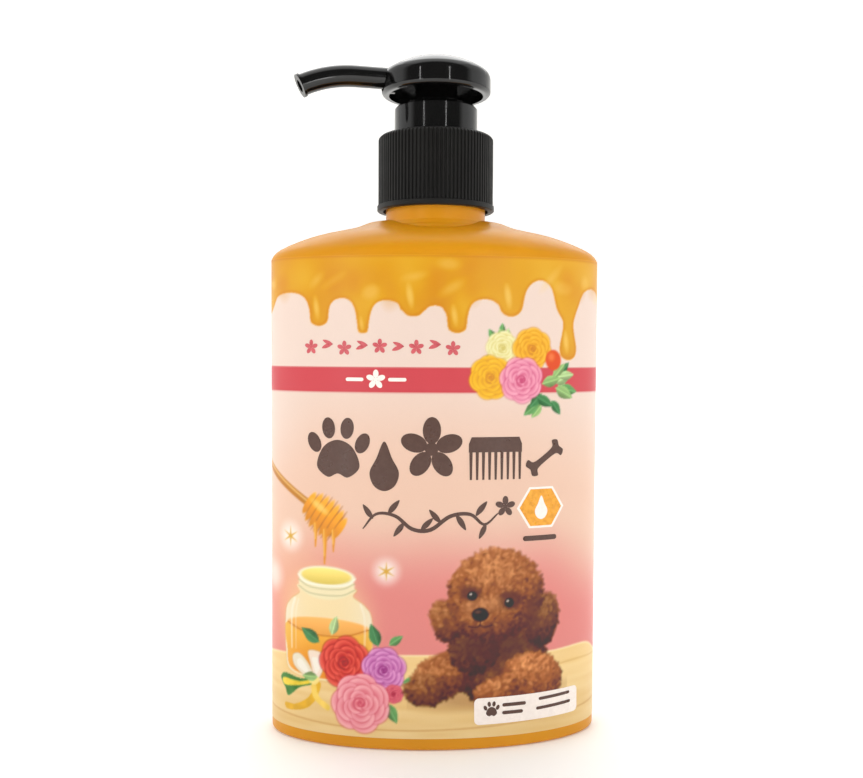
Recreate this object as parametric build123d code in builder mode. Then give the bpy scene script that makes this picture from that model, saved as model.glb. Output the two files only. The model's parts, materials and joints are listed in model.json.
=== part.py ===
"""Pump bottle for shampoo, as separate solids.

Millimetres, +Z up. The origin is the middle of the base. The front faces -Y,
and the nozzle points to -X, turned a little towards the front.
"""

import math
import os

from build123d import *

os.makedirs("parts", exist_ok=True)

# ---- driving dimensions: outside of the bottle ----
body_width = 87.0
body_depth = 41.0
sleeve_thickness = 0.15
sleeve_gap = 0.02
sleeve_bottom = 3.2
sleeve_top = 124.5
shoulder_start = 124.2
shoulder_top = 134.85
shoulder_end_width = 26.0
shoulder_end_depth = 13.8
base_round = 1.1
wall = 0.9
floor_height = 2.0
push_up = 0.8
push_up_inset = 7.0

# ---- neck and closure, 28 mm standard ----
neck_radius = 13.15
neck_step = 138.4
neck_foot = 131.0
neck_flare = 1.3
thread_root = 12.55
thread_crest = 13.7
neck_bore = 10.9
neck_top = 153.6
thread_pitch = 4.23
thread_turns = 1.5
thread_start = 142.5
collar_bottom = 137.6
collar_top = 157.3
collar_radius = 15.2
collar_bore = 13.95
collar_lip_bottom = 156.4
collar_lip_hole = 11.25
collar_edge_round = 1.5
skirt_radius = 15.5
skirt_height = 1.6
rib_count = 92
rib_depth = 0.35

# ---- pump body ----
gasket_top = 154.7
flange_top = 155.6
flange_radius = 13.2
barrel_radius = 8.2
chamber_radius = 7.1
spring_ledge = 114.0
lip_bottom = 113.2
lip_radius = 2.2
ball_room = 3.4
seat_top = 108.6
seat_bottom = 107.0
inlet_bore = 1.5
tube_top = 105.5
tube_radius = 2.8
tube_bore = 2.1
tube_foot = 3.5
socket_bottom = 97.5
ball_radius = 2.4
seat_gap = 0.03
vent_height = 147.95
ring_radius = 10.95
ring_top = 165.2
ring_plug_bottom = 148.5
ring_mouth_radius = 6.2
ring_mouth_bottom = 159.4

# ---- moving column ----
stem_radius = 3.95
stem_bottom = 147.6
stem_top = 172.2
stem_bore = 2.2
rod_radius = 3.1
rod_bore = 1.8
rod_foot = 138.0
rod_foot_radius = 5.7
rod_top = 158.0
piston_bottom = 139.3
piston_height = 7.0
piston_sleeve_radius = 4.2
piston_web_radius = 6.0
piston_lip_radius = 6.4
piston_waist_radius = 6.7
wire_radius = 0.45
spring_radius = 5.0
spring_turns = 9

# ---- head and nozzle ----
head_rim = 168.0
head_rim_round = 1.2
head_radius = 14.45
head_opening = 12.45
head_ceiling = 172.4
head_seam = 173.4
boss_bottom = 166.8
boss_radius = 5.6
duct_start = 9.5
dome_sphere = 23.95
dome_top = 178.3
dome_edge = 13.2
dome_thickness = 1.2
nozzle_angle = 192.0
nozzle_height = 171.8
nozzle_radius = 2.75
nozzle_bore = 1.6
spigot_radius = 2.0
socket_start = 11.2
shoulder_distance = 13.3
bend_start = 21.5
bend_radius = 32.0
bend_angle = 27.0


def outline(*points):
    """A closed outline of (radius, height) corners, ready to be revolved."""
    with BuildSketch(Plane.XZ) as face:
        with BuildLine():
            Polyline(*points, close=True)
        make_face()
    return face.sketch


def bottle_form(inset, bottom):
    """Body and shoulder of the bottle as a solid, drawn in by the inset."""
    half_width = body_width / 2 - sleeve_thickness - sleeve_gap - inset
    half_depth = body_depth / 2 - sleeve_thickness - sleeve_gap - inset
    end_width = shoulder_end_width / 2 - inset
    end_depth = shoulder_end_depth / 2 - inset
    rise = shoulder_top - inset - shoulder_start
    with BuildPart() as form:
        with BuildSketch(Plane.XY.offset(bottom)):
            Ellipse(half_width, half_depth)
        extrude(amount=shoulder_start - bottom)
        fillet(form.edges().group_by(Axis.Z)[0], radius=base_round - inset)
        for share in (0, 0.12, 0.3, 0.5, 0.7, 0.86, 1):
            across = end_width + (half_width - end_width) * (1 - share**1.95)
            deep = end_depth + (half_depth - end_depth) * (1 - share**2.6)
            with BuildSketch(Plane.XY.offset(shoulder_start + rise * share)):
                Ellipse(across, deep)
        loft()
    return form.part


def thread_ridge(root_radius, crest_radius, start, root_width, crest_width):
    """A helical ridge that bites a little into the wall it stands on."""
    bite = math.copysign(0.2, root_radius - crest_radius)
    with BuildPart() as ridge:
        with BuildLine() as path:
            Helix(thread_pitch, thread_pitch * thread_turns, root_radius, center=(0, 0, start))
        with BuildSketch(Plane(path.line @ 0, x_dir=(1, 0, 0), z_dir=path.line % 0)):
            with BuildLine():
                Polyline(
                    (bite, -root_width / 2),
                    (crest_radius - root_radius, -crest_width / 2),
                    (crest_radius - root_radius, crest_width / 2),
                    (bite, root_width / 2),
                    close=True,
                )
            make_face()
        sweep(path=path.line, is_frenet=True)
    return ridge.part


# ---- bottle: one blow-moulded shell with its threaded neck ----
with BuildPart() as bottle:
    add(bottle_form(0, 0))
    revolve(
        outline(
            (0, neck_foot),
            (neck_radius + neck_flare, neck_foot),
            (neck_radius + neck_flare, neck_foot + 0.9),
            (neck_radius + 0.65 * neck_flare, neck_foot + 1.4),
            (neck_radius + 0.2 * neck_flare, neck_foot + 2.4),
            (neck_radius, neck_foot + 3.4),
            (neck_radius, neck_step),
            (thread_root, neck_step + 0.6),
            (thread_root, neck_top),
            (0, neck_top),
        ),
        axis=Axis.Z,
    )
    add(bottle_form(wall, floor_height), mode=Mode.SUBTRACT)
    with BuildSketch(Plane.XY.offset(shoulder_start + 5)):
        Circle(neck_bore)
    extrude(amount=neck_top - shoulder_start, mode=Mode.SUBTRACT)
    with BuildSketch(Plane.XY):
        Ellipse(body_width / 2 - push_up_inset, body_depth / 2 - push_up_inset)
    extrude(amount=push_up, taper=30, mode=Mode.SUBTRACT)
    add(thread_ridge(thread_root, thread_crest, thread_start, 2.6, 1.2))
bottle.part.label = "bottle"
export_step(bottle.part, "parts/bottle.step")

# ---- printed film sleeve round the body ----
with BuildPart() as label_sleeve:
    with BuildSketch(Plane.XY.offset(sleeve_bottom)):
        Ellipse(body_width / 2, body_depth / 2)
        Ellipse(
            body_width / 2 - sleeve_thickness,
            body_depth / 2 - sleeve_thickness,
            mode=Mode.SUBTRACT,
        )
    extrude(amount=sleeve_top - sleeve_bottom)
label_sleeve.part.label = "label_sleeve"
export_step(label_sleeve.part, "parts/label_sleeve.step")

# ---- ribbed screw collar ----
rib_corners = []
for rib in range(rib_count):
    for share, depth in ((0, 0), (0.35, 0), (0.55, rib_depth), (0.8, rib_depth)):
        turn = 2 * math.pi * (rib + share) / rib_count
        reach = collar_radius - depth
        rib_corners.append((reach * math.cos(turn), reach * math.sin(turn)))

with BuildPart() as screw_collar:
    with BuildSketch(Plane.XY.offset(collar_bottom)):
        with BuildLine():
            Polyline(*rib_corners, close=True)
        make_face()
    extrude(amount=collar_top - collar_bottom)
    with BuildSketch(Plane.XZ):
        with BuildLine():
            Polyline(
                (collar_radius + 0.1 - collar_edge_round, collar_top),
                (0, collar_top),
                (0, collar_bottom),
                (collar_radius + 0.1, collar_bottom),
                (collar_radius + 0.1, collar_top - collar_edge_round),
            )
            CenterArc(
                (collar_radius + 0.1 - collar_edge_round, collar_top - collar_edge_round),
                collar_edge_round,
                0,
                90,
            )
        make_face()
    revolve(axis=Axis.Z, mode=Mode.INTERSECT)
    revolve(
        outline(
            (0, collar_bottom),
            (skirt_radius - 0.25, collar_bottom),
            (skirt_radius, collar_bottom + 0.25),
            (skirt_radius, collar_bottom + skirt_height - 0.2),
            (skirt_radius - 0.5, collar_bottom + skirt_height),
            (0, collar_bottom + skirt_height),
        ),
        axis=Axis.Z,
    )
    revolve(
        outline(
            (0, collar_bottom - 1),
            (collar_bore, collar_bottom - 1),
            (collar_bore, collar_lip_bottom),
            (collar_lip_hole, collar_lip_bottom),
            (collar_lip_hole, collar_top + 1),
            (0, collar_top + 1),
        ),
        axis=Axis.Z,
        mode=Mode.SUBTRACT,
    )
    add(thread_ridge(collar_bore, thread_root + 0.3, thread_start - thread_pitch / 2, 2.4, 1.2))
screw_collar.part.label = "screw_collar"
export_step(screw_collar.part, "parts/screw_collar.step")

# ---- sealing washer between the neck and the pump's flange ----
with BuildPart() as neck_gasket:
    revolve(
        outline(
            (barrel_radius + 0.4, neck_top),
            (flange_radius + 0.1, neck_top),
            (flange_radius + 0.1, gasket_top),
            (barrel_radius + 0.4, gasket_top),
        ),
        axis=Axis.Z,
    )
neck_gasket.part.label = "neck_gasket"
export_step(neck_gasket.part, "parts/neck_gasket.step")

# ---- pump housing: flange, cylinder, ball seat and dip tube socket ----
with BuildPart() as pump_housing:
    revolve(
        outline(
            (chamber_radius, flange_top),
            (flange_radius, flange_top),
            (flange_radius, gasket_top),
            (barrel_radius, gasket_top),
            (barrel_radius, spring_ledge - 1),
            (ball_room + 1.3, lip_bottom - 2.5),
            (ball_room + 1.3, seat_bottom),
            (tube_radius + 1.2, tube_top - 1),
            (tube_radius + 1.2, socket_bottom),
            (tube_radius + 0.05, socket_bottom),
            (tube_radius + 0.05, tube_top),
            (inlet_bore, tube_top),
            (inlet_bore, seat_bottom),
            (ball_room, seat_top),
            (ball_room, lip_bottom),
            (lip_radius, lip_bottom),
            (lip_radius, spring_ledge),
            (chamber_radius, spring_ledge),
        ),
        axis=Axis.Z,
    )
    with BuildSketch(Plane.YZ.offset(chamber_radius - 1)):
        with Locations((0, vent_height)):
            Circle(0.5)
    extrude(amount=3, mode=Mode.SUBTRACT)
pump_housing.part.label = "pump_housing"
export_step(pump_housing.part, "parts/pump_housing.step")

# ---- lock ring: plug in the housing, stem guide and the glossy collar under the head ----
ring_guide = stem_radius + 0.1
with BuildPart() as lock_ring:
    revolve(
        outline(
            (ring_mouth_radius, ring_top),
            (ring_radius - 0.8, ring_top),
            (ring_radius, ring_top - 0.8),
            (ring_radius, flange_top + 0.7),
            (flange_radius - 0.2, flange_top + 0.7),
            (flange_radius - 0.2, flange_top),
            (ring_radius - 1.2, flange_top),
            (ring_radius - 1.2, ring_top - 1.2),
            (chamber_radius + 0.1, ring_top - 1.2),
            (chamber_radius + 0.1, flange_top),
            (chamber_radius - 0.05, flange_top),
            (chamber_radius - 0.05, ring_plug_bottom),
            (ring_guide, ring_plug_bottom),
            (ring_guide, ring_mouth_bottom),
            (ring_mouth_radius, ring_mouth_bottom),
        ),
        axis=Axis.Z,
    )
lock_ring.part.label = "lock_ring"
export_step(lock_ring.part, "parts/lock_ring.step")

# ---- dip tube with a slanted foot ----
with BuildPart() as dip_tube:
    with BuildSketch(Plane.XY.offset(tube_foot)):
        Circle(tube_radius)
        Circle(tube_bore, mode=Mode.SUBTRACT)
    extrude(amount=tube_top - tube_foot)
    split(bisect_by=Plane((0, 0, tube_foot + 1.6), z_dir=(0.55, 0, 1)), keep=Keep.TOP)
dip_tube.part.label = "dip_tube"
export_step(dip_tube.part, "parts/dip_tube.step")

# ---- inlet ball resting on the housing's conical seat ----
seat_rise = seat_top - seat_bottom
seat_run = ball_room - inlet_bore
seat_slope = math.hypot(seat_rise, seat_run)
ball_over_seat = ((ball_radius + seat_gap) * seat_slope - seat_rise * inlet_bore) / seat_run
with BuildPart() as inlet_ball:
    with Locations((0, 0, seat_bottom + ball_over_seat)):
        Sphere(ball_radius)
inlet_ball.part.label = "inlet_ball"
export_step(inlet_ball.part, "parts/inlet_ball.step")

# ---- return spring between the housing's ledge and the rod's foot ----
spring_bottom = spring_ledge + wire_radius + 0.05
spring_length = rod_foot - wire_radius - 0.05 - spring_bottom
with BuildPart() as return_spring:
    with BuildLine() as coil:
        Helix(
            spring_length / spring_turns,
            spring_length,
            spring_radius,
            center=(0, 0, spring_bottom),
        )
    with BuildSketch(Plane(coil.line @ 0, z_dir=coil.line % 0)):
        Circle(wire_radius)
    sweep(path=coil.line, is_frenet=True)
return_spring.part.label = "return_spring"
export_step(return_spring.part, "parts/return_spring.step")

# ---- valve rod: foot, spring pin and the ported tube that plugs into the stem ----
with BuildPart() as valve_rod:
    revolve(
        outline(
            (0, rod_foot - 4),
            (rod_radius - 0.5, rod_foot - 4),
            (rod_radius, rod_foot - 3.5),
            (rod_radius, rod_foot),
            (rod_foot_radius, rod_foot),
            (rod_foot_radius, rod_foot + 1.2),
            (rod_radius, rod_foot + 1.2),
            (rod_radius, rod_top),
            (rod_bore, rod_top),
            (rod_bore, rod_foot + 1.3),
            (0, rod_foot + 1.3),
        ),
        axis=Axis.Z,
    )
    with BuildSketch(Plane.YZ.offset(-4)):
        with Locations((0, rod_foot + 1.9)):
            Circle(0.55)
    extrude(amount=8, mode=Mode.SUBTRACT)
valve_rod.part.label = "valve_rod"
export_step(valve_rod.part, "parts/valve_rod.step")

# ---- piston: sleeve on the rod, web and two wiping lips ----
piston_top = piston_bottom + piston_height
lip_edge = chamber_radius - 0.05
with BuildPart() as piston:
    revolve(
        outline(
            (rod_radius + 0.05, piston_bottom),
            (piston_sleeve_radius, piston_bottom),
            (piston_sleeve_radius, piston_bottom + 3.1),
            (piston_web_radius, piston_bottom + 3.1),
            (piston_lip_radius, piston_bottom + 0.6),
            (lip_edge, piston_bottom + 0.6),
            (lip_edge, piston_bottom + 1.6),
            (piston_waist_radius, piston_bottom + 2.4),
            (piston_waist_radius, piston_top - 2.0),
            (lip_edge, piston_top - 1.2),
            (lip_edge, piston_top - 0.2),
            (piston_lip_radius, piston_top - 0.2),
            (piston_web_radius, piston_top - 2.7),
            (piston_sleeve_radius, piston_top - 2.7),
            (piston_sleeve_radius, piston_top),
            (rod_radius + 0.05, piston_top),
        ),
        axis=Axis.Z,
    )
piston.part.label = "piston"
export_step(piston.part, "parts/piston.step")

# ---- stem: the tube that carries the head ----
with BuildPart() as stem:
    revolve(
        outline(
            (rod_radius + 0.05, stem_bottom),
            (stem_radius + 0.85, stem_bottom),
            (stem_radius + 0.85, stem_bottom + 0.6),
            (stem_radius, stem_bottom + 0.6),
            (stem_radius, stem_top),
            (stem_bore, stem_top),
            (stem_bore, rod_top + 0.3),
            (rod_radius + 0.05, rod_top + 0.3),
        ),
        axis=Axis.Z,
    )
stem.part.label = "stem"
export_step(stem.part, "parts/stem.step")

# ---- rounded edge that joins the head's wall to the dome, tangent to both ----
sphere_centre = dome_top - dome_sphere
dome_edge_height = sphere_centre + math.sqrt(dome_sphere**2 - dome_edge**2)
dome_angle = math.degrees(math.acos(dome_edge / dome_sphere))
edge_round = (head_radius - dome_edge) / (1 - dome_edge / dome_sphere)
edge_centre = head_radius - edge_round
edge_height = dome_edge_height - edge_round * math.sin(math.radians(dome_angle))
seam_angle = math.degrees(math.asin((head_seam - edge_height) / edge_round))
seam_radius = edge_centre + edge_round * math.cos(math.radians(seam_angle))

# ---- planes for the head's nozzle side ----
nozzle_turn = math.radians(nozzle_angle)
out_x = math.cos(nozzle_turn)
out_y = math.sin(nozzle_turn)
nozzle_side = Plane(origin=(0, 0, 0), x_dir=(out_x, out_y, 0), z_dir=(out_y, -out_x, 0))


def across_nozzle(distance):
    """A plane square to the nozzle, centred on its axis, at a distance from the stem."""
    origin = (distance * out_x, distance * out_y, nozzle_height)
    return Plane(origin=origin, x_dir=(-out_y, out_x, 0), z_dir=(out_x, out_y, 0))


def nozzle_rod(radius, start):
    """A round bar along the nozzle's centre line, straight at first and then bent down."""
    with BuildPart() as bar:
        with BuildLine(nozzle_side) as centre_line:
            Line((start, nozzle_height), (bend_start, nozzle_height))
            CenterArc((bend_start, nozzle_height - bend_radius), bend_radius, 90, -bend_angle)
        with BuildSketch(across_nozzle(start)):
            Circle(radius)
        sweep(path=centre_line.line)
    return bar.part


def head_envelope():
    """The head's outside with the dome on, as one solid that trims the nozzle's side flush."""
    with BuildPart() as envelope:
        with BuildSketch(Plane.XZ):
            with BuildLine():
                RadiusArc((0, dome_top), (dome_edge, dome_edge_height), dome_sphere)
                CenterArc((edge_centre, edge_height), edge_round, dome_angle, -dome_angle)
                Line((head_radius, edge_height), (head_radius, head_rim + head_rim_round))
                CenterArc(
                    (head_radius - head_rim_round, head_rim + head_rim_round),
                    head_rim_round,
                    0,
                    -90,
                )
                Polyline((head_radius - head_rim_round, head_rim), (0, head_rim), (0, dome_top))
            make_face()
        revolve(axis=Axis.Z)
    return envelope.part


# ---- pump head: skirted disc with the stem boss and the nozzle socket ----
with BuildPart() as pump_head:
    revolve(
        outline(
            (0, head_ceiling),
            (head_opening, head_ceiling),
            (head_opening, head_rim - 1),
            (head_radius + 1, head_rim - 1),
            (head_radius + 1, head_seam),
            (0, head_seam),
        ),
        axis=Axis.Z,
    )
    with BuildSketch(across_nozzle(socket_start)):
        Circle(nozzle_radius + 0.95)
    extrude(amount=head_radius + 2 - socket_start)
    add(head_envelope(), mode=Mode.INTERSECT)
    with BuildSketch(Plane.XY.offset(boss_bottom)):
        Circle(boss_radius)
    extrude(amount=head_ceiling + 0.5 - boss_bottom)
    with BuildSketch(Plane.XY.offset(boss_bottom - 1)):
        Circle(stem_radius + 0.03)
    extrude(amount=stem_top - boss_bottom + 1, mode=Mode.SUBTRACT)
    with BuildSketch(Plane.XY.offset(stem_top)):
        Circle(stem_bore)
    extrude(amount=head_seam - stem_top, mode=Mode.SUBTRACT)
    with BuildSketch(across_nozzle(socket_start + 0.7)):
        Circle(spigot_radius + 0.03)
    extrude(amount=4, mode=Mode.SUBTRACT)
    with BuildSketch(across_nozzle(shoulder_distance)):
        Circle(nozzle_radius + 0.45)
    extrude(amount=2, mode=Mode.SUBTRACT)
    with BuildSketch(nozzle_side):
        with BuildLine():
            Polyline(
                (duct_start, head_seam - 0.5),
                (socket_start + 0.7, head_seam - 0.5),
                (socket_start + 0.7, nozzle_height),
                (socket_start + 1.4, nozzle_height),
                (socket_start + 1.4, head_seam + 0.6),
                (duct_start, head_seam + 0.6),
                close=True,
            )
        make_face()
    extrude(amount=1.2, both=True, mode=Mode.SUBTRACT)
pump_head.part.label = "pump_head"
export_step(pump_head.part, "parts/pump_head.step")

# ---- dome cap pressed on the head, over the duct ----
inner_sphere = dome_sphere - dome_thickness
inner_edge = math.sqrt(inner_sphere**2 - (head_seam + 0.15 - sphere_centre) ** 2)
with BuildPart() as dome_cap:
    with BuildSketch(Plane.XZ):
        with BuildLine():
            RadiusArc((0, dome_top), (dome_edge, dome_edge_height), dome_sphere)
            CenterArc((edge_centre, edge_height), edge_round, dome_angle, seam_angle - dome_angle)
            Polyline((seam_radius, head_seam), (inner_edge, head_seam), (inner_edge, head_seam + 0.15))
            RadiusArc((inner_edge, head_seam + 0.15), (0, dome_top - dome_thickness), -inner_sphere)
            Line((0, dome_top - dome_thickness), (0, dome_top))
        make_face()
    revolve(axis=Axis.Z)
    with BuildSketch(across_nozzle(socket_start - 0.05)):
        Circle(nozzle_radius + 1)
    extrude(amount=5, mode=Mode.SUBTRACT)
dome_cap.part.label = "dome_cap"
export_step(dome_cap.part, "parts/dome_cap.step")

# ---- nozzle: bent tube with a spigot in the head's socket and a lip at its tip ----
bend = math.radians(bend_angle)
tip_distance = bend_start + bend_radius * math.sin(bend)
tip_height = nozzle_height - bend_radius * (1 - math.cos(bend))
tip_plane = Plane(
    origin=(tip_distance * out_x, tip_distance * out_y, tip_height),
    z_dir=(math.cos(bend) * out_x, math.cos(bend) * out_y, -math.sin(bend)),
)
with BuildPart() as nozzle:
    add(nozzle_rod(nozzle_radius, shoulder_distance))
    with BuildSketch(across_nozzle(socket_start + 0.75)):
        Circle(spigot_radius)
    extrude(amount=3)
    with BuildSketch(tip_plane.offset(-0.7)):
        Circle(nozzle_radius + 0.35)
    extrude(amount=0.7)
    add(nozzle_rod(nozzle_bore, socket_start), mode=Mode.SUBTRACT)
nozzle.part.label = "nozzle"
export_step(nozzle.part, "parts/nozzle.step")
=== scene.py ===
"""Looks of the shampoo pump bottle: moulded plastics, the printed sleeve and a plain studio.

Metres in the model's own frame. The print is drawn in label millimetres: s runs round the
sleeve from the middle of the front, positive to +X, and z is the height above the base.
"""
import json
import math

import bmesh
import bpy
import numpy as np
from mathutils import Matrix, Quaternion, Vector


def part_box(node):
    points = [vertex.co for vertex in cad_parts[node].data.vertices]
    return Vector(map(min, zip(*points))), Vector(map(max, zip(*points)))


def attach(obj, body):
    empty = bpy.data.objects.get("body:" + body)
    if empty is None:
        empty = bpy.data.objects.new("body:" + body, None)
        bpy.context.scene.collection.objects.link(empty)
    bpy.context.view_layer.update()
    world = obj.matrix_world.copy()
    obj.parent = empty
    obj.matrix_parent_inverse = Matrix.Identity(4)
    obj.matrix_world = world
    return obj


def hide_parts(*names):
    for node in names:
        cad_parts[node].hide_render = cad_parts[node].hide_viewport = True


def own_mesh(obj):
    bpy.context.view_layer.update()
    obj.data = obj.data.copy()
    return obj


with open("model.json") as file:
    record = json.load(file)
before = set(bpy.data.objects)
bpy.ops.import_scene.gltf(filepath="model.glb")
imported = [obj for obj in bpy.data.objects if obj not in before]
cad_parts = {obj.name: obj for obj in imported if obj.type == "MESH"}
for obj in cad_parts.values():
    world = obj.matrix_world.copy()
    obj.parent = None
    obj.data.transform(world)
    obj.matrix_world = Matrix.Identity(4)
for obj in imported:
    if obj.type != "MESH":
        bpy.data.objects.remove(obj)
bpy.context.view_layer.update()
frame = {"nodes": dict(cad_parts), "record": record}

MM = 0.001
NODES = frame["nodes"]

# ------------------------------------------------------------------ colours and node helpers


def linear(rgb):
    """Display colour 0-255 to scene linear."""
    c = np.asarray(rgb, float) / 255
    return np.where(c <= 0.04045, c / 12.92, ((c + 0.055) / 1.055) ** 2.4)


def rgba(rgb):
    """Display colour 0-255 to a scene linear colour for a node."""
    return (*[float(v) for v in linear(rgb)], 1.0)


class Nodes:
    """A small builder for one material's node tree."""

    def __init__(self, name):
        self.material = bpy.data.materials.new(name)
        self.material.use_nodes = True
        self.tree = self.material.node_tree
        self.tree.nodes.clear()
        self.shader = self.node("ShaderNodeBsdfPrincipled")
        output = self.node("ShaderNodeOutputMaterial")
        self.link(self.shader.outputs["BSDF"], output.inputs["Surface"])
        self.place = self.node("ShaderNodeTexCoord").outputs["Object"]

    def node(self, kind, **settings):
        made = self.tree.nodes.new(kind)
        for key, value in settings.items():
            setattr(made, key, value)
        return made

    def link(self, source, target):
        self.tree.links.new(source, target)

    def set(self, **values):
        """Sets the shader's inputs, with underscores for the spaces in their names."""
        for key, value in values.items():
            self.shader.inputs[key.replace("_", " ")].default_value = value
        return self

    def noise(self, scale, detail=3.0, stretch=(1, 1, 1)):
        """Noise over the object, scale in features per metre."""
        mapping = self.node("ShaderNodeMapping")
        mapping.inputs["Scale"].default_value = stretch
        self.link(self.place, mapping.inputs["Vector"])
        texture = self.node("ShaderNodeTexNoise")
        texture.inputs["Scale"].default_value = scale
        texture.inputs["Detail"].default_value = detail
        self.link(mapping.outputs["Vector"], texture.inputs["Vector"])
        return texture.outputs["Fac"]

    def ramp(self, fac, *stops):
        """Colours fac by (position, colour) stops."""
        made = self.node("ShaderNodeValToRGB")
        self.link(fac, made.inputs["Fac"])
        band = made.color_ramp
        while len(band.elements) < len(stops):
            band.elements.new(0.5)
        for element, (place, colour) in zip(band.elements, stops):
            element.position = place
            element.color = colour
        return made.outputs["Color"]

    def span(self, fac, low, high, start=0.3, end=0.7, **settings):
        """Maps start-end, by default the usual reach of a noise, to low-high."""
        made = self.node("ShaderNodeMapRange", **settings)
        for key, value in (("From Min", start), ("From Max", end), ("To Min", low), ("To Max", high)):
            made.inputs[key].default_value = value
        self.link(fac, made.inputs["Value"])
        return made.outputs["Result"]

    def bump(self, height, strength, distance, below=None):
        """A bump of the given distance in metres, laid over another one below it."""
        made = self.node("ShaderNodeBump")
        made.inputs["Strength"].default_value = strength
        made.inputs["Distance"].default_value = distance
        self.link(height, made.inputs["Height"])
        if below is not None:
            self.link(below, made.inputs["Normal"])
        return made.outputs["Normal"]


def plastic(name, low, high, roughness, grain, bump, scale=900, **extra):
    """Moulded plastic: a slow drift of tone, uneven gloss and a fine surface grain."""
    n = Nodes(name)
    n.link(n.ramp(n.noise(60), (0.3, rgba(low)), (0.7, rgba(high))), n.shader.inputs["Base Color"])
    n.link(n.span(n.noise(220, 4), roughness - grain, roughness + grain), n.shader.inputs["Roughness"])
    fine = n.bump(n.noise(scale, 2), bump, 0.00004)
    n.link(n.bump(n.noise(45, 1), bump, 0.0004, fine), n.shader.inputs["Normal"])
    return n.set(**extra).material


def steel(name):
    """Drawn stainless wire: bright, with fine lines along the drawing."""
    n = Nodes(name)
    n.link(n.ramp(n.noise(400), (0.3, rgba((176, 178, 182))), (0.7, rgba((206, 207, 210)))),
           n.shader.inputs["Base Color"])
    n.link(n.span(n.noise(1500, 2, (1, 1, 0.15)), 0.18, 0.32), n.shader.inputs["Roughness"])
    return n.set(Metallic=1.0).material


def make_materials():
    """One material for each slot of the record, apart from the printed film."""
    return {
        "bottle_plastic": plastic("orange plastic", (214, 142, 14), (221, 149, 20), 0.36, 0.05, 0.10,
                                  Specular_IOR_Level=0.32, Subsurface_Weight=0.12, Subsurface_Scale=0.002),
        "collar_plastic": plastic("satin black plastic", (15, 14, 13), (23, 22, 20), 0.48, 0.06, 0.25, 2200,
                                  Specular_IOR_Level=0.35),
        "head_plastic": plastic("polished black plastic", (9, 9, 9), (14, 13, 13), 0.09, 0.03, 0.04),
        "white_plastic": plastic("natural white plastic", (225, 225, 220), (236, 236, 231), 0.42, 0.06, 0.12),
        "tube_plastic": plastic("clear tube plastic", (222, 225, 222), (234, 236, 232), 0.30, 0.05, 0.08,
                                Transmission_Weight=0.35),
        "gasket_foam": plastic("gasket foam", (206, 206, 200), (224, 224, 218), 0.85, 0.05, 0.7, 3000),
        "steel": steel("drawn steel"),
    }


def dress_nodes(materials):
    """Gives each CAD node the material of its record slot; the sleeve has none here."""
    for part in frame["record"]["subparts"]:
        made = materials.get(part["material_slot"])
        if made is None:
            continue
        mesh = NODES[part["node"]].data
        if not mesh.materials:
            mesh.materials.append(made)
        for place in range(len(mesh.materials)):
            mesh.materials[place] = made


# ------------------------------------------------------------------ the sleeve as a drawing sheet

SLEEVE_LOW, SLEEVE_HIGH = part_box("label_sleeve")
HALF_WIDTH = SLEEVE_HIGH.x / MM
HALF_DEPTH = SLEEVE_HIGH.y / MM
BOTTOM = SLEEVE_LOW.z / MM
TOP = SLEEVE_HIGH.z / MM
PRINT_DEPTH = 0.11  # the sheet lies this far inside the sleeve's outside, with the raised inks above it
GLOSS_VEIL = 0.035  # the film's reflection lifts every ink by about this much
CELL = 0.3  # the printed dots' spacing on the front
ARC_STEPS = 4000  # points of the table from arc length to the turn round the oval


def oval_point(turn):
    """The sheet's oval in plan; turn is 0 at the middle of the front and positive to +X."""
    return (HALF_WIDTH - PRINT_DEPTH) * np.sin(turn), -(HALF_DEPTH - PRINT_DEPTH) * np.cos(turn)


def arc_table():
    """Arc length round the sheet and the turn it reaches, from the back seam round by -X."""
    turn = np.linspace(-math.pi, math.pi, ARC_STEPS + 1)
    x, y = oval_point(turn)
    s = np.concatenate([[0], np.cumsum(np.hypot(np.diff(x), np.diff(y)))])
    return s - s[-1] / 2, turn


ARC_S, ARC_TURN = arc_table()
ROUND = float(ARC_S[-1])  # arc length from the front's middle to the back seam
EDGE = ROUND / 2  # arc length from the front's middle to the side


def on_sleeve(s, z, lift=0.0):
    """Points of the sheet, in metres, for label millimetres s and z, raised by lift."""
    turn = np.interp(s, ARC_S, ARC_TURN)
    x, y = oval_point(turn)
    nx, ny = np.sin(turn) / HALF_WIDTH, -np.cos(turn) / HALF_DEPTH
    size = np.hypot(nx, ny)
    return np.stack([x + lift * nx / size, y + lift * ny / size, z + 0 * x], -1) * MM


# ------------------------------------------------------------------ painting tools


def smoothstep(value, low, high):
    """Rises smoothly from 0 at low to 1 at high."""
    t = np.clip((value - low) / (high - low), 0, 1)
    return t * t * (3 - 2 * t)


def mix(first, second, share):
    """The first colour with a share, 0 to 1, of the second."""
    return np.asarray(first, float) * (1 - share) + np.asarray(second, float) * share


def smooth_line(points, closed=True, steps=8):
    """A Catmull-Rom curve through given points."""
    p = np.asarray(points, float)
    if closed:
        p = np.vstack([p[-1], p, p[:2]])
    else:
        p = np.vstack([2 * p[0] - p[1], p, 2 * p[-1] - p[-2]])
    t = np.linspace(0, 1, steps, endpoint=False)[:, None]
    spans = []
    for a, b, c, d in zip(p[:-3], p[1:-2], p[2:-1], p[3:]):
        spans.append(0.5 * (2 * b + (c - a) * t + (2 * a - 5 * b + 4 * c - d) * t**2
                            + (3 * b - a - 3 * c + d) * t**3))
    curve = np.vstack(spans)
    return curve if closed else np.vstack([curve, p[-2]])


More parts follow.
